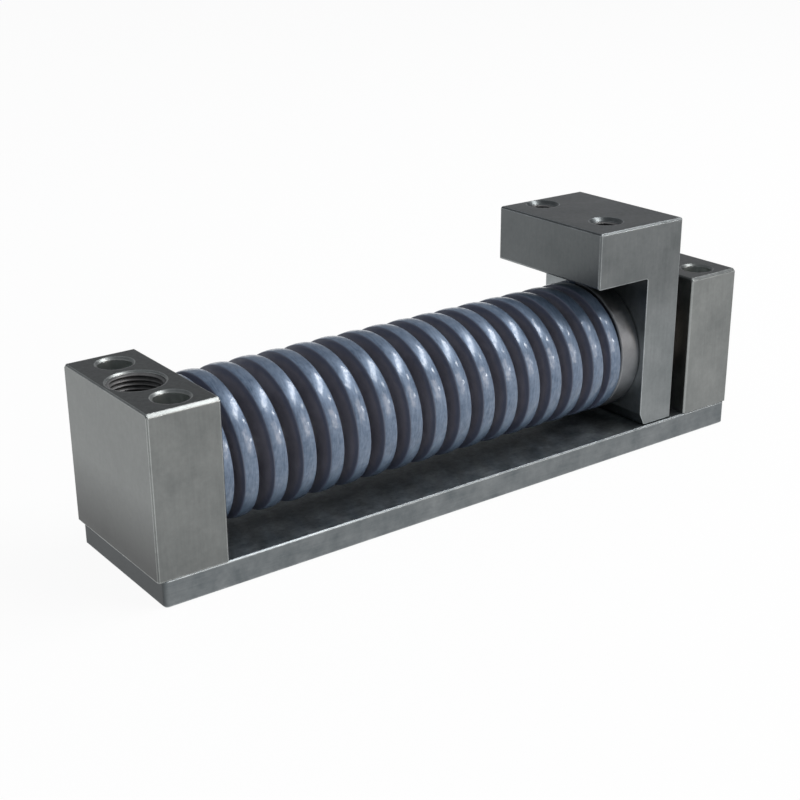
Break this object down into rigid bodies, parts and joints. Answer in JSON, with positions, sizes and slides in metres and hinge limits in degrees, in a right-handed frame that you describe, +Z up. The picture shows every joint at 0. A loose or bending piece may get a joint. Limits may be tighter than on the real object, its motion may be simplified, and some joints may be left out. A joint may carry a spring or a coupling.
{
  "type": "return spring unit",
  "caption": "Spring-loaded return slide: a coil spring on a guide rod holds a hooked slider back against an end block on a base plate.",
  "frame": {"origin": "middle of the underside of the base plate, half way along the unit", "axes": "+X along the guide rod from the anchor block to the stop block, +Y across the unit, +Z up"},
  "size_m": [0.25, 0.056, 0.0873],
  "materials": {
    "ground_steel": "satin, machine-ground steel",
    "hardened_rod": "hardened and fine-ground steel",
    "painted_spring": "thin glossy blue-grey paint",
    "bronze": "turned bronze",
    "black_steel": "black oxide, slightly oily",
    "urethane": "matt cast urethane"
  },
  "bodies": {
    "frame": {"base_plate": "ground_steel", "anchor_block": "ground_steel", "stop_block": "ground_steel", "guide_rod": "hardened_rod", "coil_spring": "painted_spring", "return_bumper": "urethane", "rod_lock_screw": "black_steel", "rod_lock_pad": "bronze", "rod_end_screw": "black_steel", "block_screws": "black_steel", "dowel_pins": "hardened_rod"},
    "slider_unit": {"slider": "ground_steel", "spring_seat": "ground_steel", "guide_bush": "bronze", "bush_ring": "black_steel"}
  },
  "joints": [
    {"name": "slider_slide", "type": "slide", "parent": "frame", "child": "slider_unit", "axis": [-1, 0, 0], "range_m": [0, 0.05], "stiffness_N_per_m": 50600, "springref_m": -0.005, "deforming": ["coil_spring"]}
  ]
}
